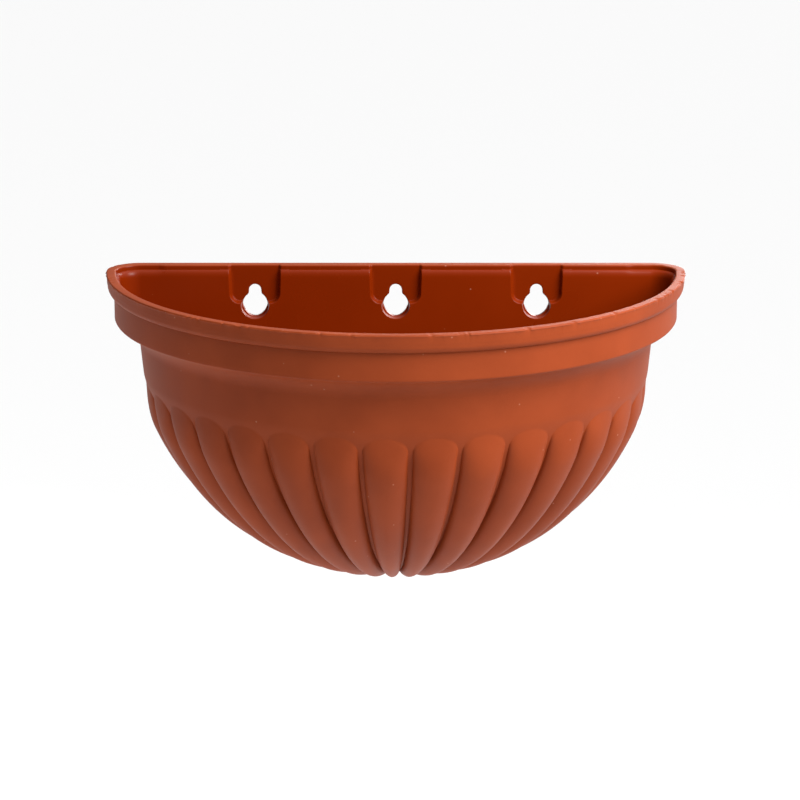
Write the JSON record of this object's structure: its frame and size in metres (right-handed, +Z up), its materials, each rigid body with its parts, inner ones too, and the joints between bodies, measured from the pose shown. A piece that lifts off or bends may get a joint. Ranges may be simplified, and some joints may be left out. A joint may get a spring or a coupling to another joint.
{
  "type": "half-round wall planter",
  "caption": "Half-round plastic wall planter with a stepped rim, a plain neck, a deeply fluted half-bowl body and a flat back pierced by keyhole hangers.",
  "frame": {"origin": "centre of the middle keyhole's round entry, on the back face of its pad, which is 1 mm in front of the wall", "axes": "+X to the right along the rim, seen from the front; +Y towards the wall that the planter hangs on; +Z up"},
  "size_m": [0.215, 0.115, 0.115],
  "materials": {
    "outer_terracotta": "matte terracotta red-brown, satin where it has been touched by the mould",
    "inner_terracotta": "smoother and slightly glossy terracotta on the flat back"
  },
  "bodies": {
    "root": {"fluted_bowl": "outer_terracotta", "neck_band": "outer_terracotta", "rim_cove": "outer_terracotta", "rim_front": "outer_terracotta", "rim_back": "outer_terracotta", "back_panel": "inner_terracotta", "hanger_left": "inner_terracotta", "hanger_middle": "inner_terracotta", "hanger_right": "inner_terracotta"}
  },
  "joints": []
}
